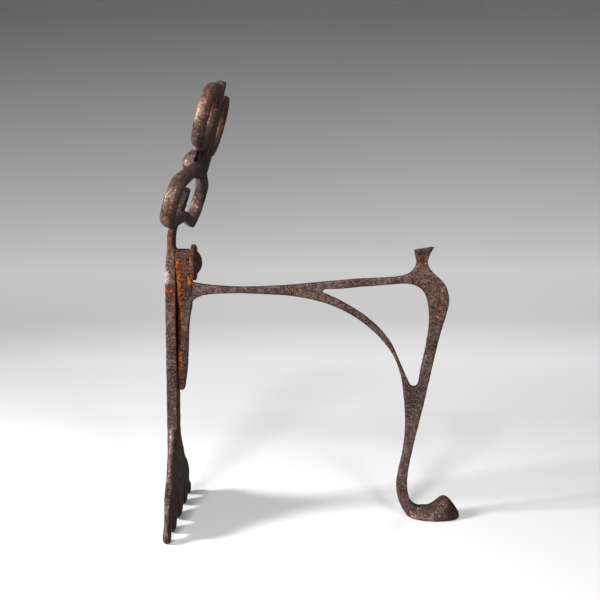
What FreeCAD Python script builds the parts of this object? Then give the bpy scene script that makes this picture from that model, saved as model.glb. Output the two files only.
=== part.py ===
"""Cast-iron firedog (andiron) with a scrolled front standard, bolted log bar and rear leg.

Millimetres.  +Z is up, the ornamental front faces -X, the rear leg stands at +X, and the
firedog is symmetric about the plane Y = 0.  While it is being modelled, x = 0 is the joint
face, where the shoe of the log bar meets the back of the stem.  At the end every piece is
moved so that the origin lies on the floor, under the middle of the bounding box.
"""
import FreeCAD, Part
import math
import os

V = FreeCAD.Vector

# ---------------------------------------------------------------- overall sizes
BAR_REACH = 260.0        # joint face to the outermost bulge of the rear knee
BAR_TOP = 228.0          # floor to the top of the log bar, beside the shoe
SCROLL_SPAN = 184.0      # overall width, over the two lower scrolls

# ---------------------------------------------------------------- stem
STEM_WIDTH = 21.0
STEM_THICK = 10.5
NECK_SET = 1.8           # above the shoe the stem's back steps forward by this much
STEM_NECK_THICK = 6.0    # and the stem is thinner
STEM_RISE = 95.0         # height at which the stem leaves the shell foot

# ---------------------------------------------------------------- shell foot
SHELL_SPAN = 137.0       # width at the shoulder
TOE_SPAN = 149.0         # width over the outer toes
SHELL_EDGE = 4.9         # thickness of the shell just above the toes
SHELL_BACK = 0.1         # the shell stays this far in front of the joint face
SHELL_BOTTOM = 11.0      # lower edge of the shell, between the toes
SHOULDER = 25.0          # height at which the shell is widest
TOE_THICK = 7.0
TOE_ROUND = 3.0          # rounding of a toe's rim
TOE_FLAT = 0.6           # depth of the flat that each toe stands on
MIDDLE_TOE = 20.0        # half width of the middle toe
SECOND_TOE = 12.5
OUTER_TOE = 7.0
TOE_GAP = 5.0            # between the middle toe and the second
RIB_TOP = 5.0            # half width of each rib where the ribs meet in the stem
RIB_THICK = 9.5          # depth of the ribs there

# ---------------------------------------------------------------- ornament
LOWER_LEAN = 21.5        # degrees back from upright, of the ornament's spine and bud
SCROLL_LEAN = 19.0       # of the two lower scrolls
UPPER_LEAN = 16.8        # degrees back from upright, from the knop to the finial
SHOE_TO_BEND = 10.0      # straight stem left between the shoe and the bend corner
SCROLL_RADIUS = 20.5     # centre line of the lower scrolls
SCROLL_BAR = 8.8         # width of their bar, seen from the front
SCROLL_THICK = 13.2      # and its depth, front to back
SECTION_DEPTH = 0.75     # half depth of the bars' front curve, as a share of their thickness
ARM_THICK = 9.2          # depth of the arms where they reach the stem and the column
SCROLL_BACK = 1.0        # the scrolls stand this far behind the line of the stem
SCROLL_RISE = 37.0       # bend corner to the scroll centres, along the lean
SCROLL_START = -97.0     # angles at which the scroll meets its straight arms
SCROLL_END = 76.0
ARM_TURN = 12.5          # radius where an upper arm turns into the column
ARM_ROOT = 5.0           # where that turn ends, from the middle of the column
ARM_IN_BUD = 3.0         # where a lower arm ends inside the bud, from its middle
STEM_END = 3.0           # the stem's end, hidden in the bud, below the scroll centres
BUD_HALF = 9.5
BUD_HEIGHT = 36.0
BUD_THICK = 11.0
BUD_BACK = 0.5           # its flat back, behind its middle
BUD_TIP = 13.5           # above the scroll centres, along the lean
KNOP_RADIUS = 13.3
KNOP_HALF = 20.0         # half of its length across the column
KNOP_ROUND = 8.5         # rounding of its ends
KNOP_BACK = -1.5         # its flat back, just in front of the middle of the column
KNOP_RISE = 5.0          # above the upper bend
UPPER_BEND = 68.8        # bend corner to the upper bend, along the lower lean
COLUMN_HALF = 9.5
COLUMN_THICK = 12.0
COLLAR_HALF = 12.0       # the thicker part of the column, under and behind the knop
COLLAR_THICK = 19.0
COLLAR_FOOT = -7.5       # its ends, from the upper bend
COLLAR_TOP = 17.0
RING_RADIUS = 25.8       # centre line of the upper rings
RING_BAR = 9.0
RING_THICK = 12.0
RING_RISE = 48.0         # upper bend to the ring centres
RING_OVERLAP = 1.0       # how far each ring is bedded in the column
FINIAL_HALF = 8.5
FINIAL_THICK = 9.0
FINIAL_BASE = 52.0       # above the upper bend
FINIAL_TIP = 86.7

# ---------------------------------------------------------------- log bar and rear leg
BAR_THICK = 9.5          # across, in Y
BAR_DEPTH = 8.0          # top to bottom, beside the shoe
BAR_START = 37.0         # where the bar's root fillets end
SHOE_THICK = 14.0        # joint face to the seat of the washer
SHOE_HALF = 10.5
SHOE_RISE = 35.0         # above the top of the bar
SHOE_CORNER = 4.0
SHOE_WAIST = 6.0         # below the top of the bar, where the shoe has become the tail
TAIL_DROP = 101.0        # bar top to the end of the tail
TAIL_TIP = 5.7           # thickness of the tail at its end
KNEE_DROP = 11.0         # bar top down to the outermost point of the knee
NECK_WIDTH = 9.8         # log stop, at its neck
NECK_BACK = 21.0         # knee to the neck's rear face
NECK_RISE = 23.0
SPUR_RISE = 37.0         # bar top to the tip of the log stop
SPUR_HALF = 9.0
SPUR_FRONT = 32.5        # knee to the front lip of the log stop
SPUR_REAR = 15.2         # knee to its rear lip
ANKLE = 10.2             # thickness of the leg at the ankle
PAD_REACH = 13.5         # how far the pad foot reaches behind the knee
PAD_HALF = 16.5
PAD_HEIGHT = 20.9
SOLE_ALLOWANCE = 1.5     # modelled below the floor, then cut flat

# ---------------------------------------------------------------- bolt and washer
BOLT_RISE = 22.0         # bolt axis above the top of the bar
SHANK = 12.7
HEAD = 23.6
HEAD_RISE = 5.7
SLOT_WIDTH = 2.2
SLOT_DEPTH = 2.4
SHANK_IN_STEM = 6.6      # screwed length in the stem
HOLE_CLEARANCE = 0.8     # on the diameter, through the shoe
THREAD_CLEARANCE = 0.2   # on the diameter, in the stem
TIP_CLEARANCE = 0.4      # between the shank's end and the bottom of its hole
WASHER = 34.4
BORE_CLEARANCE = 1.3     # on the diameter, in the washer
WASHER_THICK = 4.4
WASHER_ROUND = 1.1

# ---------------------------------------------------------------- places worked out
SHOE_TOP = BAR_TOP + SHOE_RISE
BEND_HEIGHT = SHOE_TOP + SHOE_TO_BEND
BOLT_HEIGHT = BAR_TOP + BOLT_RISE
STEM_MIDDLE = -STEM_THICK / 2
BEND = V(STEM_MIDDLE, 0, BEND_HEIGHT)


def up_the_lean(start, degrees, distance):
    """The point that lies a distance from start, up a line leaning back from upright."""
    angle = math.radians(degrees)
    return start + V(distance * math.sin(angle), 0, distance * math.cos(angle))


SCROLL_PLACE = up_the_lean(BEND, LOWER_LEAN, SCROLL_RISE) + V(SCROLL_BACK, 0, 0)
UPPER_PLACE = up_the_lean(BEND, LOWER_LEAN, UPPER_BEND)
SCROLL_OFFSET = SCROLL_SPAN / 2 - SCROLL_RADIUS - SCROLL_BAR / 2
RING_OFFSET = COLUMN_HALF + RING_RADIUS + RING_BAR / 2 - RING_OVERLAP


# ---------------------------------------------------------------- small helpers
def curve(points):
    """A smooth edge through the points."""
    spline = Part.BSplineCurve()
    spline.interpolate(points)
    return spline.toShape()


def line(start, end):
    return Part.LineSegment(start, end).toShape()


def face(edges):
    """The flat face inside a closed run of edges."""
    return Part.Face(Part.Wire(Part.__sortEdges__(edges)))


def side(x, z):
    """A point of a side outline, in the plane Y = 0."""
    return V(x, 0, z)


def across(shape, width):
    """A side outline, given its width across and centred on Y = 0."""
    solid = shape.extrude(V(0, width, 0))
    solid.translate(V(0, -width / 2, 0))
    return solid


def depth(shape, start, end):
    """A front outline drawn at x = 0, given its depth from start to end."""
    solid = shape.extrude(V(end - start, 0, 0))
    solid.translate(V(start, 0, 0))
    return solid


def lean_back(shape, degrees, place):
    """A shape drawn upright at the origin, leaned back and moved to its place."""
    turned = shape.copy()
    turned.rotate(V(0, 0, 0), V(0, 1, 0), degrees)
    turned.translate(place)
    return turned


def mirrored(shape):
    return shape.mirror(V(0, 0, 0), V(0, 1, 0))


def below_floor():
    """Everything under the floor, to cut the feet flat."""
    size = 4 * BAR_REACH
    return Part.makeBox(size, size, 10 * SOLE_ALLOWANCE,
                        V(-size / 2, -size / 2, -10 * SOLE_ALLOWANCE))


def outward(shape):
    """The same solid with its faces pointing outwards."""
    solid = Part.Solid(shape.Shells[0])
    if solid.Volume < 0:
        solid.reverse()
    return solid


def joined(shapes):
    """One solid from shapes that overlap."""
    solid = shapes[0]
    for shape in shapes[1:]:
        solid = solid.fuse(shape)
    return solid


def rounded_disc(radius, thickness, rounding, axis):
    """A disc or barrel about an axis through the origin, with both rims rounded."""
    disc = Part.makeCylinder(radius, thickness, axis * (-thickness / 2), axis)
    rims = [e for e in disc.Edges if e.isClosed()]
    return disc.makeFillet(rounding, rims)


def oval(y, z, heading, width, thickness):
    """A bar section at (y, z), rounded in front; heading is its angle in the YZ plane.

    It is an ellipse that reaches too far back, until flat_backed cuts it off.
    """
    half_depth = SECTION_DEPTH * thickness
    centre = V(half_depth - thickness / 2, y, z)
    normal = math.radians(heading + 90)
    half_width = V(0, math.cos(normal), math.sin(normal)) * (width / 2)
    ellipse = Part.Ellipse(centre + V(half_depth, 0, 0), centre + half_width, centre)
    return Part.Face(Part.Wire(ellipse.toShape()))


def flat_backed(shape, back):
    """The ornament is cast with a flat back: what lies behind x = back is cut off."""
    size = 2 * SCROLL_SPAN
    return shape.cut(Part.makeBox(size, size, size, V(back, -size / 2, -size / 2)))


# ---------------------------------------------------------------- front standard
def stem():
    """The flat stem: straight, thinner above the bolt, and swept back into the scrolls."""
    rise = BEND_HEIGHT - SHOE_TOP
    end = SCROLL_PLACE.z - STEM_END
    back = [side(-NECK_SET, SHOE_TOP + 1), side(-NECK_SET, BEND_HEIGHT),
            side(-0.9, BEND_HEIGHT + 0.7 * rise), side(2.6, BEND_HEIGHT + 1.8 * rise),
            side(SCROLL_PLACE.x, end)]
    front = [p - V(STEM_NECK_THICK, 0, 0) for p in back]
    bolt_top = side(front[0].x - 1.4, BOLT_HEIGHT + 2)
    bolt_foot = side(-STEM_THICK, BOLT_HEIGHT - HEAD / 2)
    outline = [line(side(0, STEM_RISE), side(0, SHOE_TOP)), line(side(0, SHOE_TOP), back[0]),
               curve(back), line(back[-1], front[-1]), curve(front), line(front[0], bolt_top),
               line(bolt_top, bolt_foot), line(bolt_foot, side(-STEM_THICK, STEM_RISE)),
               line(side(-STEM_THICK, STEM_RISE), side(0, STEM_RISE))]
    return across(face(outline), STEM_WIDTH)


def shell():
    """The fan of the foot: a bell outline, thinned towards the toes."""
    half = SHELL_SPAN / 2
    stem_half = STEM_WIDTH / 2
    flare = half - stem_half
    rise = STEM_RISE - SHOULDER
    flank = [V(0, stem_half, STEM_RISE), V(0, stem_half + 0.10 * flare, SHOULDER + 0.62 * rise),
             V(0, stem_half + 0.40 * flare, SHOULDER + 0.40 * rise),
             V(0, stem_half + 0.79 * flare, SHOULDER + 0.21 * rise),
             V(0, half, SHOULDER)]
    left_flank = [V(0, -p.y, p.z) for p in flank]
    foot_edge = V(0, half - OUTER_TOE / 2, SHELL_BOTTOM)
    left_edge = V(0, -foot_edge.y, foot_edge.z)
    bell = face([curve(flank), line(flank[-1], foot_edge), line(foot_edge, left_edge),
                 line(left_edge, left_flank[-1]), curve(left_flank),
                 line(left_flank[0], flank[0])])
    back = -SHELL_BACK
    edge = back - SHELL_EDGE
    taper_end = SHOULDER + 0.75 * rise
    wedge = Part.Face(Part.makePolygon([
        side(back, SHELL_BOTTOM), side(edge, SHELL_BOTTOM), side(edge, SHOULDER),
        side(-STEM_THICK, taper_end), side(-STEM_THICK, STEM_RISE), side(back, STEM_RISE),
        side(back, SHELL_BOTTOM)]))
    return depth(bell, -STEM_THICK, 0).common(across(wedge, SHELL_SPAN))


def rib(offset, half):
    """A rib of the shell, which spreads from the stem and ends in a round toe."""
    toe_height = half - TOE_FLAT
    toe_depth = -SHELL_BACK - SHELL_EDGE / 2
    length = math.hypot(offset, STEM_RISE - toe_height)
    tilt = math.degrees(math.asin(offset / length))

    def level(height, x, half_width, thickness):
        centre = V(x, 0, height)
        ellipse = Part.Ellipse(centre + V(0, half_width, 0), centre + V(thickness / 2, 0, 0), centre)
        return Part.Wire(ellipse.toShape())

    inside = 0.93
    flute = Part.makeLoft([level(-0.3 * half, toe_depth, inside * half, inside * TOE_THICK),
                           level(length, STEM_MIDDLE, RIB_TOP, RIB_THICK)], True)
    toe = rounded_disc(half, TOE_THICK, TOE_ROUND, V(1, 0, 0))
    toe.translate(V(toe_depth, 0, 0))
    solid = outward(flute).fuse(toe)
    solid.rotate(V(0, 0, 0), V(1, 0, 0), tilt)
    solid.translate(V(0, offset, toe_height))
    return solid


def ribs():
    """Five ribs: a wide one in the middle and two narrower ones on each side."""
    second = MIDDLE_TOE + TOE_GAP + SECOND_TOE
    outer = TOE_SPAN / 2 - OUTER_TOE
    right = [rib(second, SECOND_TOE), rib(outer, OUTER_TOE)]
    return [rib(0, MIDDLE_TOE)] + right + [mirrored(r) for r in right]


class Ribbon:
    """An oval bar that follows runs and turns in the YZ plane, each tangent to the last."""

    def __init__(self, y, z, heading, width, thickness):
        self.point = V(0, y, z)
        self.heading = heading
        self.section = (width, thickness)
        self.solids = []

    def direction(self, extra=0.0):
        angle = math.radians(self.heading + extra)
        return V(0, math.cos(angle), math.sin(angle))

    def end_face(self):
        return oval(self.point.y, self.point.z, self.heading, *self.section)

    def run(self, length, thickness):
        """A straight run, tapering to the thickness at its far end."""
        start = self.end_face().OuterWire
        self.point = self.point + self.direction() * length
        self.section = (self.section[0], thickness)
        self.solids.append(Part.makeLoft([start, self.end_face().OuterWire], True))

    def turn(self, radius, degrees):
        """Turn left by positive degrees, right by negative ones."""
        to_centre = 90 if degrees > 0 else -90
        centre = self.point + self.direction(to_centre) * radius
        self.solids.append(self.end_face().revolve(centre, V(1, 0, 0), degrees))
        self.heading += degrees
        self.point = centre - self.direction(to_centre) * radius


def scroll():
    """One lower scroll, on the +Y side: out of the stem, round, and back into the column."""
    start = math.radians(SCROLL_START)
    end = math.radians(SCROLL_END)
    lower = V(0, SCROLL_OFFSET + SCROLL_RADIUS * math.cos(start), SCROLL_RADIUS * math.sin(start))
    upper = V(0, SCROLL_OFFSET + SCROLL_RADIUS * math.cos(end), SCROLL_RADIUS * math.sin(end))
    turned_away = ARM_TURN * (1 - math.cos(end))

    bow = Ribbon(lower.y, lower.z, SCROLL_START + 90, SCROLL_BAR, SCROLL_THICK)
    bow.turn(SCROLL_RADIUS, SCROLL_END - SCROLL_START)
    bow.run((upper.y - turned_away - ARM_ROOT) / math.sin(end), ARM_THICK)
    bow.turn(ARM_TURN, -SCROLL_END)

    arm = Ribbon(lower.y, lower.z, SCROLL_START - 90, SCROLL_BAR, SCROLL_THICK)
    arm.run((lower.y - ARM_IN_BUD) / -math.sin(start), ARM_THICK)
    solids = [outward(s) for s in bow.solids + arm.solids]
    return flat_backed(solids[0].fuse(solids[1:]), SCROLL_THICK / 2)


def leaf(base, tip, half, thickness):
    """A pointed leaf between two heights, widest in its lower half."""
    belly = base + 0.35 * (tip - base)
    foot_half = 0.55 * half
    right = [V(0, foot_half, base), V(0, half, belly), V(0, 0, tip)]
    left = [V(0, -p.y, p.z) for p in right]
    outline = face([curve(right), curve(left), line(left[0], right[0])])
    return depth(outline, -thickness / 2, thickness / 2)


def knop():
    """The swelling across the column: a barrel on a level axis."""
    barrel = rounded_disc(KNOP_RADIUS, 2 * KNOP_HALF, KNOP_ROUND, V(0, 1, 0))
    barrel.translate(V(0, 0, KNOP_RISE))
    return flat_backed(barrel, KNOP_BACK)


def ring():
    """One upper ring, on the +Y side."""
    section = oval(RING_OFFSET + RING_RADIUS, RING_RISE, 90, RING_BAR, RING_THICK)
    whole = outward(section.revolve(V(0, RING_OFFSET, RING_RISE), V(1, 0, 0), 360))
    return flat_backed(whole, RING_THICK / 2)


def rounded_bar(half, thickness, foot, top):
    """An upright bar of the column, with its four long edges rounded."""
    bar = Part.makeBox(thickness, 2 * half, top - foot, V(-thickness / 2, -half, foot))
    uprights = [e for e in bar.Edges if e.BoundBox.ZLength > (top - foot) / 2]
    return bar.makeFillet(0.35 * min(half, thickness), uprights)


def column():
    """The column from the scroll arms to the finial, with the collar behind the knop."""
    shaft = rounded_bar(COLUMN_HALF, COLUMN_THICK, COLLAR_TOP - KNOP_RADIUS,
                        FINIAL_BASE + FINIAL_HALF)
    collar = rounded_bar(COLLAR_HALF, COLLAR_THICK, COLLAR_FOOT, COLLAR_TOP)
    return collar.fuse(shaft)


def front_upright():
    """The whole front casting, with the tapped hole for the bolt in its back."""
    right_scroll = scroll()
    right_ring = ring()
    bud = flat_backed(leaf(BUD_TIP - BUD_HEIGHT, BUD_TIP, BUD_HALF, BUD_THICK), BUD_BACK)
    finial = leaf(FINIAL_BASE, FINIAL_TIP, FINIAL_HALF, FINIAL_THICK)
    lower = [lean_back(s, SCROLL_LEAN, SCROLL_PLACE)
             for s in (right_scroll, mirrored(right_scroll))]
    lower.append(lean_back(bud, LOWER_LEAN, SCROLL_PLACE))
    upper = [lean_back(s, UPPER_LEAN, UPPER_PLACE)
             for s in (column(), knop(), right_ring, mirrored(right_ring), finial)]
    casting = joined([stem(), shell()] + ribs() + lower + upper)
    hole_depth = SHANK_IN_STEM + TIP_CLEARANCE
    hole = Part.makeCylinder((SHANK + THREAD_CLEARANCE) / 2, hole_depth + 1,
                             V(-hole_depth, 0, BOLT_HEIGHT), V(1, 0, 0))
    return casting.cut(below_floor()).cut(hole)


# ---------------------------------------------------------------- log bar and rear leg
def bar_and_leg():
    """The log bar, knee, brace and leg, as one side outline with its open triangle."""
    knee = BAR_REACH
    top = BAR_TOP
    bottom = BAR_TOP - BAR_DEPTH
    root = SHOE_THICK * 0.7
    neck_rear = knee - NECK_BACK
    neck_front = neck_rear - NECK_WIDTH
    shin = 0.5 * (top - 36 + 58)
    upper_edge = curve([side(root, top + 4), side(BAR_START, top), side(knee - 148, top + 1),
                        side(knee - 70, top + 7.2), side(knee - 48, top + 8.8),
                        side(neck_front - 4.7, top + 13.4), side(neck_front, top + NECK_RISE)])
    rear_edge = curve([side(neck_rear, top + NECK_RISE), side(neck_rear + 5, top + 13),
                       side(knee - 5, top + 2.5), side(knee, top - KNEE_DROP),
                       side(knee - 4.6, top - 36), side(knee - 20, shin), side(knee - 35, 58),
                       side(knee - 47.8 + ANKLE, 31), side(knee - 32.6, 14.5),
                       side(knee - 21.3, 10.1)])
    sole = [side(knee - 21.3, 10.1), side(knee - 21.3, -2 * SOLE_ALLOWANCE),
            side(knee - 31, -2 * SOLE_ALLOWANCE)]
    inner_edge = curve([sole[-1], side(knee - 41.5, 7.5), side(knee - 47.8, 30),
                        side(knee - 43, 60), side(knee - 39.8, 92),
                        side(knee - 41.4, top - 110), side(knee - 48.6, top - 76),
                        side(knee - 69.5, top - 46.6), side(knee - 104, top - 22.7),
                        side(knee - 141, bottom - 3.4), side(knee - 180, bottom - 0.1),
                        side(BAR_START, bottom), side(root + 8, bottom - 4.5),
                        side(root, bottom - 16)])
    outline = [upper_edge, line(side(neck_front, top + NECK_RISE), side(neck_rear, top + NECK_RISE)),
               rear_edge, inner_edge, line(side(root, bottom - 16), side(root, top + 4))]
    outline += [line(sole[0], sole[1]), line(sole[1], sole[2])]
    tip = side(knee - 31.7, top - 98.4)
    corner = side(knee - 121.4, top - 6.6)
    under_bar = curve([corner, side(knee - 119.8, top - 4.2), side(knee - 114, top - 3.4),
                       side(knee - 95, top - 2.3), side(knee - 50, top + 1.4),
                       side(knee - 36, top + 1.2), side(knee - 24.5, top - 5.5),
                       side(knee - 19.0, top - 20), side(knee - 21.2, top - 60),
                       side(knee - 26.2, top - 86), side(knee - 27.4, top - 93.4),
                       side(knee - 29.0, top - 97.3), tip])
    over_brace = curve([tip, side(knee - 34.6, top - 97.4), side(knee - 37.3, top - 93.0),
                        side(knee - 40.6, top - 86.3),
                        side(knee - 54.2, top - 56.2), side(knee - 86.5, top - 24.5), corner])
    triangle = face([under_bar, over_brace])
    return across(face(outline), BAR_THICK).cut(across(triangle, 2 * BAR_THICK))


def shoe():
    """The shoe under the bolt and the tail below it, flat against the stem."""
    top = SHOE_TOP
    end = BAR_TOP - TAIL_DROP
    waist = BAR_TOP - SHOE_WAIST
    half = BAR_THICK / 2
    shoulder = BOLT_HEIGHT - SHANK / 2
    front = Part.Face(Part.makePolygon([V(0, *p) for p in (
        (half, end), (half, waist - SHOE_HALF), (SHOE_HALF, shoulder), (SHOE_HALF, top - SHOE_CORNER),
        (SHOE_HALF - SHOE_CORNER, top), (SHOE_CORNER - SHOE_HALF, top),
        (-SHOE_HALF, top - SHOE_CORNER), (-SHOE_HALF, shoulder), (-half, waist - SHOE_HALF),
        (-half, end), (half, end))]))
    back_edge = curve([side(SHOE_THICK, waist - 14), side(SHOE_THICK - 2.3, waist - 26),
                       side(SHOE_THICK - 4.2, waist - 59), side(TAIL_TIP + 1.9, end + 11),
                       side(TAIL_TIP, end)])
    profile = face([line(side(0, end), side(0, top)), line(side(0, top), side(SHOE_THICK, top)),
                    line(side(SHOE_THICK, top), side(SHOE_THICK, waist - 14)), back_edge,
                    line(side(TAIL_TIP, end), side(0, end))])
    return depth(front, 0, SHOE_THICK).common(across(profile, 2 * SHOE_HALF))


def log_stop():
    """The flared spur that keeps a log on the bar."""
    knee = BAR_REACH

    def level(front, rear, half, front_rise, rear_rise):
        x_front = knee - front
        x_rear = knee - rear
        corners = [V(x_front, -half, BAR_TOP + front_rise), V(x_rear, -half, BAR_TOP + rear_rise),
                   V(x_rear, half, BAR_TOP + rear_rise), V(x_front, half, BAR_TOP + front_rise)]
        return Part.makePolygon(corners + corners[:1])

    neck_front = NECK_BACK + NECK_WIDTH
    neck_half = BAR_THICK / 2
    throat = (NECK_RISE + SPUR_RISE) / 2 - 1
    sections = [level(neck_front, NECK_BACK, neck_half, NECK_RISE - 1, NECK_RISE - 1),
                level(SPUR_FRONT - 0.3, NECK_BACK - 1.6, (neck_half + SPUR_HALF) / 2 - 0.6,
                      throat, throat),
                level(SPUR_FRONT, SPUR_REAR, SPUR_HALF, SPUR_RISE - 3, SPUR_RISE)]
    return outward(Part.makeLoft(sections, True))


def pad_foot():
    """The pad that the rear leg stands on: low at the instep, peaked, then rounded off."""
    knee = BAR_REACH

    def section(x, height, half):
        low = -2 * SOLE_ALLOWANCE
        spline = Part.BSplineCurve()
        spline.interpolate([V(x, -half, 0.1 * height), V(x, -0.75 * half, 0.5 * height),
                            V(x, 0, height), V(x, 0.75 * half, 0.5 * height),
                            V(x, half, 0.1 * height), V(x, 0.7 * half, 0.8 * low),
                            V(x, 0, low), V(x, -0.7 * half, 0.8 * low)], True)
        return Part.Wire(spline.toShape())

    instep = 10.4
    sections = [section(knee - 34, 1.2 * instep, 0.45 * PAD_HALF),
                section(knee - 27, instep, 0.76 * PAD_HALF),
                section(knee - 17, 1.1 * instep, 0.97 * PAD_HALF),
                section(knee - 8, 0.82 * PAD_HEIGHT, PAD_HALF),
                section(knee - 1.6, PAD_HEIGHT, 0.96 * PAD_HALF),
                section(knee + 0.42 * PAD_REACH, 0.78 * PAD_HEIGHT, 0.82 * PAD_HALF),
                section(knee + 0.82 * PAD_REACH, 0.42 * PAD_HEIGHT, 0.52 * PAD_HALF),
                section(knee + PAD_REACH, 0.2 * PAD_HEIGHT, 0.27 * PAD_HALF)]
    return outward(Part.makeLoft(sections, True))


def billet_bar():
    """The whole rear casting, with the clear hole for the bolt."""
    casting = joined([bar_and_leg(), shoe(), log_stop(), pad_foot()])
    hole = Part.makeCylinder((SHANK + HOLE_CLEARANCE) / 2, SHOE_THICK + 2,
                             V(-1, 0, BOLT_HEIGHT), V(1, 0, 0))
    return casting.cut(below_floor()).cut(hole)


# ---------------------------------------------------------------- fasteners
def bolt_washer():
    axis = V(1, 0, 0)
    place = V(SHOE_THICK, 0, BOLT_HEIGHT)
    disc = rounded_disc(WASHER / 2, WASHER_THICK, WASHER_ROUND, axis)
    disc.translate(place + axis * (WASHER_THICK / 2))
    bore = Part.makeCylinder((SHANK + BORE_CLEARANCE) / 2, WASHER_THICK + 2, place - axis, axis)
    return disc.cut(bore)


def clamp_bolt():
    """Mushroom-head bolt: a domed, slotted head and a plain shank."""
    axis = V(1, 0, 0)
    seat = V(SHOE_THICK + WASHER_THICK, 0, BOLT_HEIGHT)
    dome_radius = ((HEAD / 2) ** 2 + HEAD_RISE ** 2) / (2 * HEAD_RISE)
    ball = Part.makeSphere(dome_radius, seat + axis * (HEAD_RISE - dome_radius))
    head = ball.common(Part.makeCylinder(HEAD / 2, HEAD_RISE, seat, axis))
    slot = Part.makeBox(SLOT_DEPTH, SLOT_WIDTH, HEAD,
                        seat + V(HEAD_RISE - SLOT_DEPTH, -SLOT_WIDTH / 2, -HEAD / 2))
    length = seat.x + SHANK_IN_STEM
    shank = Part.makeCylinder(SHANK / 2, length, seat - axis * length, axis)
    return head.cut(slot).fuse(shank)


def build():
    pieces = {"front_upright": front_upright(), "billet_bar": billet_bar(),
              "clamp_bolt": clamp_bolt(), "bolt_washer": bolt_washer()}
    box = FreeCAD.BoundBox()
    for shape in pieces.values():
        box.add(shape.optimalBoundingBox(False))
    to_origin = V(-(box.XMin + box.XMax) / 2, 0, -box.ZMin)
    os.makedirs("parts", exist_ok=True)
    for name, shape in pieces.items():
        shape.translate(to_origin)
        solid = shape.Solids[0] if len(shape.Solids) == 1 else shape
        solid.exportStep("parts/%s.step" % name)
        extent = solid.optimalBoundingBox(False)
        print("%-14s valid %s, solids %d, volume %.0f mm3, x %.1f..%.1f y %.1f..%.1f z %.1f..%.1f"
              % (name, solid.isValid(), len(solid.Solids), solid.Volume, extent.XMin,
                 extent.XMax, extent.YMin, extent.YMax, extent.ZMin, extent.ZMax))


build()
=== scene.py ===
"""The looks of a cast-iron firedog: two weathered castings, their bolt and washer, and a studio."""

import math

import bpy
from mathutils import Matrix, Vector


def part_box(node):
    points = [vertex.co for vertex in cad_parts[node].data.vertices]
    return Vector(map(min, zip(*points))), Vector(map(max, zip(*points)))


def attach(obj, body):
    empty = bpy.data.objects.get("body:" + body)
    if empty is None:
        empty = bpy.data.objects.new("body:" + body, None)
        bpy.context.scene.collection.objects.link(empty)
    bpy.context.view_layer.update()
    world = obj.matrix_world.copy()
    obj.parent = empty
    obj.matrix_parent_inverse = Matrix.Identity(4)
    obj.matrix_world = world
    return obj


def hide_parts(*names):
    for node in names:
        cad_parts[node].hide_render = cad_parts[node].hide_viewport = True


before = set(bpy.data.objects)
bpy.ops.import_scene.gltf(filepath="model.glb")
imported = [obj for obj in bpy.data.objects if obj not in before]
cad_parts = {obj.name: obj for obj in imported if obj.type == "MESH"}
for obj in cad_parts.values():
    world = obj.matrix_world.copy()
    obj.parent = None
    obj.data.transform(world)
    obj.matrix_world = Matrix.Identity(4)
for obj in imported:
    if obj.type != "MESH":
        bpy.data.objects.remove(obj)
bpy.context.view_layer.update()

bl_info = {
    "name": "Cast-iron firedog",
    "version": (1, 0, 0),
    "blender": (4, 5, 0),
    "location": "3D View > Sidebar > Firedog",
    "description": "Builds a firedog's weathered castings, its bolt and washer, and a studio",
    "category": "Object",
}

MM = 0.001

# places taken from the frame, in metres
BAR_LOW, BAR_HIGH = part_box("billet_bar")
BOLT_LOW, BOLT_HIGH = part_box("clamp_bolt")
WASHER_LOW, WASHER_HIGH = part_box("bolt_washer")
JOINT_X = BAR_LOW.x                             # where the shoe and tail meet the stem
BOLT_Z = (BOLT_LOW.z + BOLT_HIGH.z) / 2
SEAT_X = WASHER_LOW.x                           # the washer's face against the shoe
NEAR_EDGE_Y = -0.012                            # the stem's edge on the near side

# sizes of the iron's patterns, in millimetres
PATCH = 26            # broad patches of fire scale
CROWD = 24            # crowds of rust specks
BLOTCH = 5            # shallow blotches and pits
SPECK = 2.2           # rust specks
GRAIN = 1.5           # the sand grain, drawn coarser than it is so that it shows
RELIEF = 1.1          # how deep the grain and blotches seem
SOOT_AND_SHADE_FADE = 1.6       # over this depth soot and painted shade cover the back of the ornament
SWELL_WIDTH = 11      # width of the mould's swells
PIT_WIDTH = 3         # width of the pits

# how the iron takes light
WORN_METAL = 0.55     # metallic where the skin has no rust
SOOT_ROUGHNESS = 0.85
DRY_REFLECTION = 0.06   # specular level of dry scale and rust
STAIN_FROM = 0.09     # rust places stronger than this are stained too
STAIN_RISE = 25       # how fast the stain gets stronger with the place

# the studio, in metres, watts and degrees: name, place, width, power and spread of each soft box
SOFT_BOXES = (("Front left", (-0.35, -1.30, 1.10), 0.28, 28, 180),
              ("Front right", (0.50, -1.30, 1.05), 0.28, 13, 180),
              ("Left", (-1.25, -0.30, 0.74), 0.30, 17, 110),
              ("Behind", (0.45, 1.10, 1.30), 0.50, 6, 180))
MIDDLE = (-0.04, 0, 0.2)        # what the soft boxes look at
AIR_LIGHT = 0.10                # strength of the light from all round
SENSOR_WIDTH = 36               # in millimetres


# ---------------------------------------------------------------- sizes and colours
def linear(hex_colour):
    """An sRGB hex colour such as "#4a3d3a" as linear red, green, blue and alpha."""
    def channel(start):
        value = int(hex_colour[start:start + 2], 16) / 255
        return value / 12.92 if value <= 0.04045 else ((value + 0.055) / 1.055) ** 2.4
    return (channel(1), channel(3), channel(5), 1.0)


def per_metre(size_mm):
    """The pattern scale that gives features of this size, on coordinates in metres."""
    return 1 / (size_mm * MM)


def colour(name, description, hex_colour):
    """A colour that a user can change."""
    return bpy.props.FloatVectorProperty(name=name, description=description, subtype="COLOR",
                                         size=4, min=0, max=1, default=linear(hex_colour))


def length(name, description, size_mm):
    """A length that a user can change."""
    return bpy.props.FloatProperty(name=name, description=description, unit="LENGTH",
                                   precision=5, default=size_mm * MM)


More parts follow.
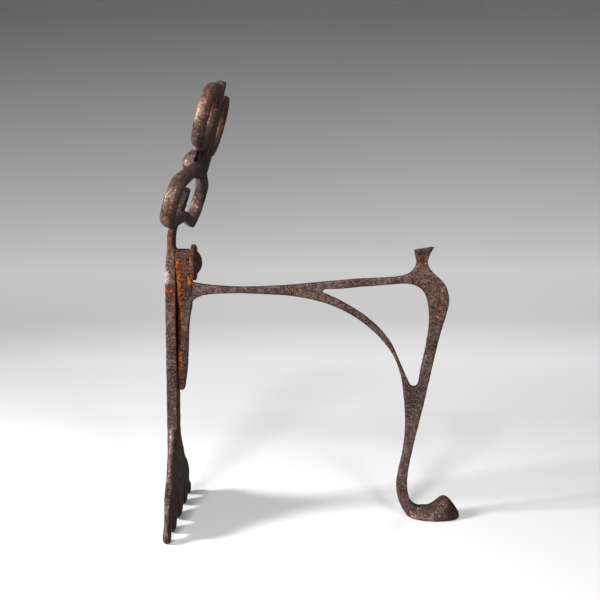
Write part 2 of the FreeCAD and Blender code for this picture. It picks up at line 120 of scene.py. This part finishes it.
class CastingSettings(bpy.types.PropertyGroup):
    """How finely the castings are drawn, and how rough and soft they are"""
    upright_skin: length("Upright skin", "Size of the facets of the front upright's skin", 0.9)
    bar_skin: length("Bar skin", "Size of the facets of the log bar's skin", 0.8)
    swell: length("Swell", "Height of the broad unevenness left by the sand mould", 0.55)
    pits: length("Pits", "Depth of the pits that rust has eaten", 0.4)
    soft_edges: bpy.props.IntProperty(
        name="Soft edges", description="How many times the castings' edges are smoothed",
        default=5, min=0)


class FastenerSettings(bpy.types.PropertyGroup):
    """The same for the bolt and its washer"""
    skin: length("Skin", "Size of the facets of the bolt's and washer's skin", 0.42)
    swell: length("Swell", "Height of the unevenness of the forged head and washer", 0.5)
    pits: length("Pits", "Depth of the pits in the bolt and washer", 0.22)
    soft_edges: bpy.props.IntProperty(
        name="Soft edges", description="How many times the edges are smoothed", default=4, min=0)


class IronColours(bpy.types.PropertyGroup):
    """The colours of old hearth iron, some of them also used for painted shade and painted
    highlights
    """
    scale: colour("Fire scale", "Black-brown scale in the hollows", "#150e0c")
    # this soot colour also paints the shade on the backs and on the narrow walls
    soot_and_shade: colour("Soot", "Black-brown soot on the side that faces the fire", "#30231d")
    skin: colour("Iron skin", "Grey-brown skin of the old casting", "#5f4b46")
    grit: colour("Worn grit", "Pinkish grey where the grain is rubbed bright", "#9b8178")
    # this pale colour also paints highlights on the rings' rims and on the stem's near edge
    bright: colour("Rubbed bright", "Pale pinkish grey of a spot that is rubbed bright", "#b9a39c")
    stain: colour("Rust stain", "Dark red-brown stain under the crowded specks", "#48261a")
    # painted shade: black for the shaded gaps between the pieces and the shaded bud
    gap: colour("Gap", "Black of the gaps between the pieces", "#050303")
    old_rust: colour("Old rust", "Dark brown rust", "#66351f")
    new_rust: colour("New rust", "Bright orange rust", "#bd661c")


class StageSettings(bpy.types.PropertyGroup):
    """The paper sweep and the camera"""
    floor_colour: colour("Floor", "Pale paper of the floor", "#bababa")
    # painted shade: the paper is made greyer up the wall
    wall_shade_colour: colour("Wall", "Greyer paper of the backdrop", "#989898")
    near_glow: colour("Near glow", "Light of the paper in front", "#0a0a0a")
    floor_glow: colour("Floor glow", "Light of the paper just behind the firedog", "#4a4a4a")
    far_glow: colour("Far glow", "Light of the paper further back", "#989898")
    bend_glow: colour("Bend glow", "Light of the paper where it turns up", "#b0b0b0")
    top_glow: colour("Top glow", "Light of the paper at the top of the backdrop", "#000000")
    eye: bpy.props.FloatVectorProperty(
        name="Camera", description="Where the camera stands", subtype="TRANSLATION", unit="LENGTH",
        default=(-0.0140, -0.7828, 0.2931))
    pitch: bpy.props.FloatProperty(name="Pitch", description="How far the camera looks down",
                                   subtype="ANGLE", default=math.radians(5.78))
    lens: bpy.props.FloatProperty(name="Lens", description="Focal length on a 36 mm wide sensor",
                                  default=49.2)


# ---------------------------------------------------------------- modelling helpers
def deselect_all():
    bpy.ops.object.select_all(action="DESELECT")


def casting_copy(name, node):
    """A new object with a copy of the node's mesh, its loose triangles merged into one skin."""
    deselect_all()
    piece = bpy.data.objects.new(name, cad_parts[node].data.copy())
    piece.data.name = name
    bpy.context.scene.collection.objects.link(piece)
    piece.data.materials.clear()
    piece.select_set(True)
    bpy.context.view_layer.objects.active = piece
    bpy.ops.object.mode_set(mode="EDIT")
    bpy.ops.mesh.select_all(action="SELECT")
    bpy.ops.mesh.remove_doubles(threshold=0.01 * MM)
    bpy.ops.object.mode_set(mode="OBJECT")
    return piece


def modify(piece, kind, **settings):
    """Adds one modifier, sets it and applies it."""
    deselect_all()
    piece.select_set(True)
    bpy.context.view_layer.objects.active = piece
    modifier = piece.modifiers.new(kind.title(), kind)
    for setting, value in settings.items():
        setattr(modifier, setting, value)
    bpy.ops.object.modifier_apply(modifier=modifier.name)


def clouds(name, size_mm, depth):
    """A cloudy height pattern with lumps of the given size."""
    pattern = bpy.data.textures.new(name, "CLOUDS")
    pattern.noise_basis = "ORIGINAL_PERLIN"
    pattern.noise_scale = size_mm * MM
    pattern.noise_depth = depth
    pattern.cloud_type = "GRAYSCALE"
    return pattern


def weather(piece, facet, soft_edges, swell, pits):
    """Gives the piece one even skin, softens its edges, and adds swells and pits."""
    modify(piece, "REMESH", mode="VOXEL", voxel_size=facet, adaptivity=0)
    modify(piece, "SMOOTH", factor=0.5, iterations=soft_edges)
    modify(piece, "DISPLACE", texture=clouds(piece.name + " swell", SWELL_WIDTH, 2),
           strength=swell, mid_level=0.5, texture_coords="LOCAL")
    modify(piece, "DISPLACE", texture=clouds(piece.name + " pits", PIT_WIDTH, 2),
           strength=pits, mid_level=0.6, texture_coords="LOCAL")
    deselect_all()
    piece.select_set(True)
    bpy.ops.object.shade_smooth()


def finish_piece(piece, node, material):
    """Gives the piece its material, hides the node's own mesh and hangs the piece under the root
    body.
    """
    piece.data.materials.append(material)
    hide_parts(node)
    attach(piece, "root")


# ---------------------------------------------------------------- material helpers
def add_node(tree, kind, links=None, **settings):
    """Adds a node.  links maps its inputs to values or to other nodes' outputs."""
    node = tree.nodes.new(kind)
    for setting, value in settings.items():
        setattr(node, setting, value)
    for socket, value in (links or {}).items():
        if isinstance(value, bpy.types.NodeSocket):
            tree.links.new(value, node.inputs[socket])
        else:
            node.inputs[socket].default_value = value
    return node


def new_material(name):
    """A material with an empty node tree."""
    material = bpy.data.materials.new(name)
    material.use_nodes = True
    material.node_tree.nodes.clear()
    return material


def noise(tree, place, size_mm, detail, roughness=0.55):
    """A noise value whose features have a real size."""
    return add_node(tree, "ShaderNodeTexNoise",
                    {"Vector": place, "Scale": per_metre(size_mm), "Detail": detail,
                     "Roughness": roughness}).outputs["Fac"]


def ramped(tree, value, low, high, to_low=0.0, to_high=1.0):
    """The value, eased from to_low at low up to to_high at high."""
    return add_node(tree, "ShaderNodeMapRange",
                    {"Value": value, "From Min": low, "From Max": high, "To Min": to_low,
                     "To Max": to_high}, interpolation_type="SMOOTHSTEP").outputs["Result"]


def maths(tree, operation, first, second=0.0, clamp=False):
    """One sum, product or the like of two values."""
    return add_node(tree, "ShaderNodeMath", {0: first, 1: second}, operation=operation,
                    use_clamp=clamp).outputs[0]


def mixed(tree, share, below, above):
    """The colour above laid over the colour below, by its share."""
    return add_node(tree, "ShaderNodeMix", {"Factor": share, 6: below, 7: above},
                    data_type="RGBA").outputs[2]


def near(tree, place, point, reach, full, gone):
    """1 close to a point, fading to 0.

    reach is the size in mm of the patch along each axis; full and gone are in patch sizes.
    """
    across = add_node(tree, "ShaderNodeVectorMath", {0: place, 1: point}, operation="SUBTRACT")
    shrunk = add_node(tree, "ShaderNodeVectorMath",
                      {0: across.outputs[0], 1: Vector(reach) * MM}, operation="DIVIDE")
    distance = add_node(tree, "ShaderNodeVectorMath", {0: shrunk.outputs[0]},
                        operation="LENGTH").outputs["Value"]
    return ramped(tree, distance, full, gone, 1.0, 0.0)


def behind(tree, place, point, normal, depth_mm):
    """0 in front of a plane, rising to 1 at the given depth behind it."""
    across = add_node(tree, "ShaderNodeVectorMath", {0: place, 1: point}, operation="SUBTRACT")
    depth = add_node(tree, "ShaderNodeVectorMath", {0: across.outputs[0], 1: normal},
                     operation="DOT_PRODUCT").outputs["Value"]
    return ramped(tree, depth, 0.0, depth_mm * MM)


def soot_and_shade_share(tree, place, normal, grain, flat_back, wall_shade):
    """Where soot and painted shade lie: soot with painted shade on the backs, painted shade behind
    the flat back's plane and on the narrow walls.
    """
    soot_and_shade_mask = ramped(tree, normal["X"], 0.15, 0.70)
    if flat_back:
        point, plane_normal, foot = flat_back
        up = add_node(tree, "ShaderNodeSeparateXYZ", {0: place}).outputs["Z"]
        back = maths(tree, "MULTIPLY", behind(tree, place, point, plane_normal, SOOT_AND_SHADE_FADE),
                     ramped(tree, up, foot, foot + 0.012))
        soot_and_shade_mask = maths(tree, "MAXIMUM", soot_and_shade_mask, back)
    # painted shade on the faces that do not face along Y, such as the narrow walls
    if wall_shade:
        wall = ramped(tree, maths(tree, "ABSOLUTE", normal["Y"]), 0.80, 0.40)
        soot_and_shade_mask = maths(tree, "MAXIMUM", soot_and_shade_mask, maths(tree, "MULTIPLY", wall, wall_shade))
    return maths(tree, "MULTIPLY", soot_and_shade_mask, ramped(tree, grain, 0.72, 0.52, 0.75, 1.0))


def old_iron(name, rust_places, rust_amount, roughness, shade_places=(), rubbed_and_highlight_places=(),
             flat_back=None, wall_shade=0.0):
    """Sand-cast grey iron, long used in a hearth and left to rust.

    The eye gets a dark, dry, grainy skin: black-brown scale in the hollows, soot with painted
    shade on the side that faces the fire and away from the lights, pinkish grey where the grain
    is rubbed, pale rubbed wear and painted highlights on the rubbed places, painted shade in the
    gaps, and orange specks that crowd together around the joints.  Each of the places is (point,
    reach in mm, strength), flat_back is a point on the plane that soot and painted shade lie
    behind, its normal and its lower end, and the last argument says how much painted shade
    darkens the narrow walls of the casting.
    """
    colours = bpy.context.scene.firedog_iron
    material = new_material(name)
    tree = material.node_tree
    place = add_node(tree, "ShaderNodeTexCoord").outputs["Object"]
    surface = add_node(tree, "ShaderNodeNewGeometry")
    edge = surface.outputs["Pointiness"]
    normal = add_node(tree, "ShaderNodeSeparateXYZ", {0: surface.outputs["Normal"]}).outputs

    # the skin: patches of scale, worn grains, soot with painted shade on the back, rubbed edges and
    # dark hollows
    patches = noise(tree, place, PATCH, 3)
    grain = noise(tree, place, GRAIN, 3, 0.7)
    blotches = noise(tree, place, BLOTCH, 4, 0.6)
    tone = maths(tree, "ADD", maths(tree, "MULTIPLY", patches, 0.3),
                 maths(tree, "MULTIPLY", grain, 0.7))
    skin = mixed(tree, ramped(tree, tone, 0.40, 0.56, 0.15, 1.0), colours.scale, colours.skin)
    worn_grains = maths(tree, "MULTIPLY", ramped(tree, grain, 0.55, 0.72), 0.55)
    skin = mixed(tree, worn_grains, skin, colours.grit)
    # soot and painted shade: the faces turned back, away from the lights, are darkened
    soot_and_shade_mask = soot_and_shade_share(tree, place, normal, grain, flat_back, wall_shade)
    skin = mixed(tree, soot_and_shade_mask, skin, colours.soot_and_shade)
    rubbed_edges = maths(tree, "MULTIPLY", ramped(tree, edge, 0.53, 0.64), 0.35)
    skin = mixed(tree, rubbed_edges, skin, colours.grit)
    skin = mixed(tree, ramped(tree, edge, 0.36, 0.49, 1.0, 0.0), skin, colours.scale)

    # rust specks, a few everywhere and crowds of them in the rust places
    specks = noise(tree, place, SPECK, 4, 0.75)
    crowds = noise(tree, place, CROWD, 2)
    gathered = maths(tree, "MULTIPLY", ramped(tree, crowds, 0.40, 0.75), 0.035 * rust_amount)
    for point, reach, strength in rust_places:
        patch = near(tree, place, point, reach, 0.35, 1.0)
        gathered = maths(tree, "MAXIMUM", gathered, maths(tree, "MULTIPLY", patch, strength))
        stained = min(1.0, max(0.0, STAIN_RISE * (strength - STAIN_FROM)))
        skin = mixed(tree, maths(tree, "MULTIPLY", patch, stained), skin, colours.stain)
    level = maths(tree, "ADD", specks, gathered)
    dull = ramped(tree, level, 0.60, 0.72)
    bright = ramped(tree, level, 0.66, 0.78)
    iron = mixed(tree, maths(tree, "MULTIPLY", dull, 0.8), skin, colours.old_rust)
    iron = mixed(tree, maths(tree, "MULTIPLY", bright, 0.85), iron, colours.new_rust)
    pitted = maths(tree, "MULTIPLY", ramped(tree, blotches, 0.56, 0.46), 0.45)
    iron = mixed(tree, pitted, iron, colours.scale)

    # painted shade: the black of the shaded gaps between the pieces and of the shaded bud, with a
    # ragged edge
    for point, reach, strength in shade_places:
        patch = near(tree, place, point, reach, 0.4, 1.0)
        ragged = ramped(tree, maths(tree, "ADD", patch, maths(tree, "MULTIPLY", specks, 0.6)),
                        0.65, 0.95)
        iron = mixed(tree, maths(tree, "MULTIPLY", ragged, strength), iron, colours.gap)

    # smoother where it is rubbed: the front, the rubbed places and the tops of the grains; the
    # rubbed places are also painted pale, as rubbed wear and painted highlights
    rubbed = maths(tree, "MULTIPLY", ramped(tree, normal["X"], -0.30, -0.70),
                   ramped(tree, grain, 0.44, 0.56))
    for point, reach, strength in rubbed_and_highlight_places:
        patch = near(tree, place, point, reach, 0.3, 1.0)
        patch = maths(tree, "MULTIPLY", maths(tree, "MULTIPLY", patch, strength),
                      ramped(tree, grain, 0.40, 0.52))
        iron = mixed(tree, patch, iron, colours.bright)
        rubbed = maths(tree, "MAXIMUM", rubbed, patch)
    rough = maths(tree, "ADD", roughness, maths(tree, "MULTIPLY", dull, 0.25), clamp=True)
    grain_tops = maths(tree, "MULTIPLY", ramped(tree, grain, 0.5, 0.7), 0.16)
    rough = maths(tree, "SUBTRACT", rough, grain_tops, clamp=True)
    rough = maths(tree, "SUBTRACT", rough, maths(tree, "MULTIPLY", rubbed, 0.24), clamp=True)
    rough = maths(tree, "MAXIMUM", rough, maths(tree, "MULTIPLY", soot_and_shade_mask, SOOT_ROUGHNESS))

    # metal shows only where there is neither rust nor soot and painted shade
    metal = maths(tree, "MULTIPLY", ramped(tree, level, 0.58, 0.68, WORN_METAL, 0.0),
                  maths(tree, "SUBTRACT", 1.0, soot_and_shade_mask, clamp=True))

    relief = maths(tree, "ADD", maths(tree, "MULTIPLY", grain, 0.45),
                   maths(tree, "MULTIPLY", blotches, 0.55))
    bump = add_node(tree, "ShaderNodeBump", {"Height": relief, "Distance": RELIEF * MM,
                                             "Strength": 0.7})
    shader = add_node(tree, "ShaderNodeBsdfPrincipled",
                      {"Base Color": iron, "Metallic": metal, "Roughness": rough,
                       "Specular IOR Level": DRY_REFLECTION,
                       "Normal": bump.outputs["Normal"]})
    add_node(tree, "ShaderNodeOutputMaterial", {"Surface": shader.outputs[0]})
    return material


# ---------------------------------------------------------------- the pieces
class FIREDOG_OT_front_upright(bpy.types.Operator):
    """Casts the front upright: shell foot, stem, scrolls, knop, rings and finial"""
    bl_idname = "firedog.front_upright"
    bl_label = "Front upright"

    def execute(self, context):
        sizes = context.scene.firedog_casting
        piece = casting_copy("front_upright_casting", "front_upright")
        weather(piece, sizes.upright_skin, sizes.soft_edges, sizes.swell, sizes.pits)
        seam = ((JOINT_X, 0, BOLT_Z - 0.045), (3.0, 40, 90), 0.18)
        above_shoe = ((JOINT_X - 0.006, 0, BOLT_Z + 0.020), (7, 30, 20), 0.11)
        below_worn_spot = ((JOINT_X - 0.008, NEAR_EDGE_Y, BOLT_Z - 0.027), (6, 14, 9), 0.15)
        ring_specks = ((JOINT_X + 0.034, 0, BOLT_Z + 0.143), (14, 400, 30), 0.085)
        # painted shade: black in the crevice between the stem and the log bar, and the shade on the
        # bud
        crevice_shade = ((JOINT_X, 0, BOLT_Z - 0.055), (1.4, 60, 75), 0.95)
        bud_shade = ((JOINT_X + 0.005, 0, BOLT_Z + 0.056), (15, 16, 28), 0.50)
        # a rubbed spot with a painted highlight on the stem's near edge, and a painted highlight
        # along the rings' rims
        worn_spot_and_highlight = ((JOINT_X - 0.0095, NEAR_EDGE_Y, BOLT_Z - 0.013), (5, 13, 10), 0.9)
        ring_highlight = ((JOINT_X + 0.029, 0, BOLT_Z + 0.138), (9, 400, 20), 0.15)
        # painted shade, with soot: the faces behind this plane on the back of the ornament are
        # darkened
        flat_back = ((JOINT_X + 0.0222, 0, BOLT_Z + 0.095), Vector((0.956, 0, -0.292)),
                     BOLT_Z + 0.022)
        finish_piece(piece, "front_upright",
                     old_iron("Weathered cast iron, upright",
                              [seam, above_shoe, below_worn_spot, ring_specks], 2.2, 0.54,
                              [crevice_shade, bud_shade], [worn_spot_and_highlight, ring_highlight], flat_back))
        return {"FINISHED"}


class FIREDOG_OT_billet_bar(bpy.types.Operator):
    """Casts the log bar with its shoe, brace, rear leg and log stop"""
    bl_idname = "firedog.billet_bar"
    bl_label = "Log bar and rear leg"

    def execute(self, context):
        sizes = context.scene.firedog_casting
        piece = casting_copy("billet_bar_casting", "billet_bar")
        weather(piece, sizes.bar_skin, sizes.soft_edges, sizes.swell, sizes.pits)
        seam = ((JOINT_X + 0.001, 0, BOLT_Z - 0.045), (6, 40, 96), 0.20)
        tail = ((JOINT_X + 0.002, 0, BOLT_Z - 0.090), (4, 40, 34), 0.17)
        shoe = ((JOINT_X + 0.005, 0, BOLT_Z - 0.010), (11, 40, 30), 0.12)
        under_washer = ((SEAT_X - 0.0005, 0, WASHER_LOW.z + 0.001), (5, 30, 8), 0.28)
        knee = ((BAR_HIGH.x - 0.028, 0, BAR_HIGH.z - 0.045), (38, 60, 55), 0.075)
        log_stop = ((BAR_HIGH.x - 0.036, 0, BAR_HIGH.z - 0.012), (14, 60, 12), 0.10)
        # painted shade: black in the crevice against the stem
        crevice_shade = ((JOINT_X, 0, BOLT_Z - 0.055), (1.9, 60, 72), 0.95)
        wider_crevice_shade = ((JOINT_X + 0.002, 0, BOLT_Z - 0.062), (2.2, 60, 34), 0.85)
        # painted shade darkens the narrow walls, such as the top of the brace
        finish_piece(piece, "billet_bar",
                     old_iron("Weathered cast iron, log bar",
                              [seam, tail, shoe, under_washer, knee, log_stop], 1.3, 0.60,
                              [crevice_shade, wider_crevice_shade], wall_shade=0.85))
        return {"FINISHED"}


class FIREDOG_OT_clamp_bolt(bpy.types.Operator):
    """Forges the slotted mushroom-head bolt"""
    bl_idname = "firedog.clamp_bolt"
    bl_label = "Clamp bolt"

    def execute(self, context):
        sizes = context.scene.firedog_fastener
        piece = casting_copy("mushroom_head_bolt", "clamp_bolt")
        weather(piece, sizes.skin, sizes.soft_edges, sizes.swell, sizes.pits)
        under_head = ((WASHER_HIGH.x, 0, BOLT_Z), (2.2, 60, 60), 0.14)
        finish_piece(piece, "clamp_bolt",
                     old_iron("Rusted wrought iron, bolt", [under_head], 1.0, 0.62))
        return {"FINISHED"}


class FIREDOG_OT_bolt_washer(bpy.types.Operator):
    """Punches the thick round washer"""
    bl_idname = "firedog.bolt_washer"
    bl_label = "Bolt washer"

    def execute(self, context):
        sizes = context.scene.firedog_fastener
        piece = casting_copy("thick_round_washer", "bolt_washer")
        weather(piece, sizes.skin, sizes.soft_edges, sizes.swell, sizes.pits)
        lower_rim = ((SEAT_X, 0, WASHER_LOW.z), (4, 30, 13), 0.26)
        seat = ((SEAT_X, 0, BOLT_Z), (1.8, 60, 60), 0.16)
        finish_piece(piece, "bolt_washer",
                     old_iron("Rusted wrought iron, washer", [lower_rim, seat], 1.3, 0.62))
        return {"FINISHED"}


# ---------------------------------------------------------------- the studio
class FIREDOG_OT_stage(bpy.types.Operator):
    """Sets up the pale sweep, the soft lights and the camera"""
    bl_idname = "firedog.stage"
    bl_label = "Studio"

    def execute(self, context):
        settings = context.scene.firedog_stage
        self.sweep(settings)
        for name, place, width, power, spread in SOFT_BOXES:
            self.soft_light(name, place, width, power, spread)
        world = bpy.data.worlds.new("Studio air")
        context.scene.world = world
        world.use_nodes = True
        air = world.node_tree.nodes["Background"].inputs
        air["Color"].default_value = linear("#ffffff")
        air["Strength"].default_value = AIR_LIGHT
        self.camera(context, settings)
        context.scene.view_settings.view_transform = "Standard"
        return {"FINISHED"}

    def sweep(self, settings):
        """A floor that curves up into the backdrop."""
        deselect_all()
        width, front, back, radius, top = 9.0, -2.5, 1.6, 1.2, 3.6
        bpy.ops.mesh.primitive_plane_add(size=1, location=(0, 0, 0))
        floor = bpy.context.object
        floor.name = "sweep"
        bpy.ops.object.mode_set(mode="EDIT")
        bpy.ops.mesh.select_all(action="SELECT")
        bpy.ops.transform.resize(value=(width, back - front, 1))
        bpy.ops.transform.translate(value=(0, (front + back) / 2, 0))
        bpy.ops.mesh.select_mode(type="EDGE")
        bpy.ops.mesh.select_all(action="DESELECT")
        bpy.ops.object.mode_set(mode="OBJECT")
        for border in floor.data.edges:
            ends = [floor.data.vertices[v].co for v in border.vertices]
            border.select = all(abs(end.y - back) < MM for end in ends)
        bpy.ops.object.mode_set(mode="EDIT")
        bpy.ops.mesh.spin(steps=32, angle=math.radians(90), center=(0, back, radius),
                          axis=(-1, 0, 0))
        bpy.ops.mesh.extrude_region_move(TRANSFORM_OT_translate={"value": (0, 0, top - radius)})
        bpy.ops.mesh.select_all(action="SELECT")
        bpy.ops.mesh.normals_make_consistent(inside=False)
        bpy.ops.object.mode_set(mode="OBJECT")
        deselect_all()
        floor.select_set(True)
        bpy.ops.object.shade_smooth()

        # seamless studio paper: matt, pale on the floor, with painted shade that makes it greyer up
        # the wall.  Part of its light is its own, as if lights beyond the firedog fell on it.  The
        # ramp runs over the first 4 m back along the floor and up the wall
        material = new_material("Seamless studio paper")
        tree = material.node_tree
        place = add_node(tree, "ShaderNodeTexCoord").outputs["Object"]
        split = add_node(tree, "ShaderNodeSeparateXYZ", {0: place})
        along = maths(tree, "ADD", split.outputs["Y"], split.outputs["Z"])
        ramp = add_node(tree, "ShaderNodeValToRGB", {"Fac": maths(tree, "MULTIPLY", along, 0.25)})
        stops = ramp.color_ramp.elements
        stops[0].position, stops[0].color = 0.0, settings.near_glow
        stops[1].position, stops[1].color = 0.99, settings.top_glow
        for position, stop_colour in ((0.10, settings.floor_glow), (0.22, settings.far_glow),
                                      (0.55, settings.bend_glow)):
            stops.new(position).color = stop_colour
        paper = mixed(tree, ramped(tree, along, 0.8, 3.0), settings.floor_colour,
                      settings.wall_shade_colour)
        matt = add_node(tree, "ShaderNodeBsdfDiffuse", {"Color": paper})
        glow = add_node(tree, "ShaderNodeEmission", {"Color": ramp.outputs["Color"]})
        both = add_node(tree, "ShaderNodeAddShader", {0: matt.outputs[0], 1: glow.outputs[0]})
        add_node(tree, "ShaderNodeOutputMaterial", {"Surface": both.outputs[0]})
        floor.data.materials.append(material)

    def soft_light(self, name, place, width, power, spread):
        """A square soft box that looks at the middle of the firedog."""
        bpy.ops.object.light_add(type="AREA", location=place)
        light = bpy.context.object
        light.name = name
        light.data.size = width
        light.data.energy = power
        light.data.spread = math.radians(spread)
        aim = Vector(MIDDLE) - Vector(place)
        light.rotation_euler = aim.to_track_quat("-Z", "Y").to_euler()

    def camera(self, context, settings):
        """The camera, which looks along Y and a little down."""
        bpy.ops.object.camera_add(location=settings.eye,
                                  rotation=(math.radians(90) - settings.pitch, 0, 0))
        camera = bpy.context.object
        camera.data.sensor_width = SENSOR_WIDTH
        camera.data.lens = settings.lens
        context.scene.camera = camera


class FIREDOG_PT_panel(bpy.types.Panel):
    """Lists the firedog's pieces"""
    bl_label = "Firedog"
    bl_idname = "FIREDOG_PT_panel"
    bl_space_type = "VIEW_3D"
    bl_region_type = "UI"
    bl_category = "Firedog"

    def draw(self, context):
        for operator in OPERATORS:
            self.layout.operator(operator.bl_idname)


OPERATORS = (FIREDOG_OT_front_upright, FIREDOG_OT_billet_bar, FIREDOG_OT_clamp_bolt,
             FIREDOG_OT_bolt_washer, FIREDOG_OT_stage)
SETTINGS = {"firedog_casting": CastingSettings, "firedog_fastener": FastenerSettings,
            "firedog_iron": IronColours, "firedog_stage": StageSettings}


def register():
    for group in SETTINGS.values():
        bpy.utils.register_class(group)
    for operator in OPERATORS:
        bpy.utils.register_class(operator)
    bpy.utils.register_class(FIREDOG_PT_panel)
    for name, group in SETTINGS.items():
        setattr(bpy.types.Scene, name, bpy.props.PointerProperty(type=group))


def unregister():
    for name in SETTINGS:
        delattr(bpy.types.Scene, name)
    bpy.utils.unregister_class(FIREDOG_PT_panel)
    for operator in reversed(OPERATORS):
        bpy.utils.unregister_class(operator)
    for group in SETTINGS.values():
        bpy.utils.unregister_class(group)


def main():
    register()
    bpy.ops.firedog.front_upright()
    bpy.ops.firedog.billet_bar()
    bpy.ops.firedog.clamp_bolt()
    bpy.ops.firedog.bolt_washer()
    bpy.ops.firedog.stage()


if __name__ == "__main__":
    main()
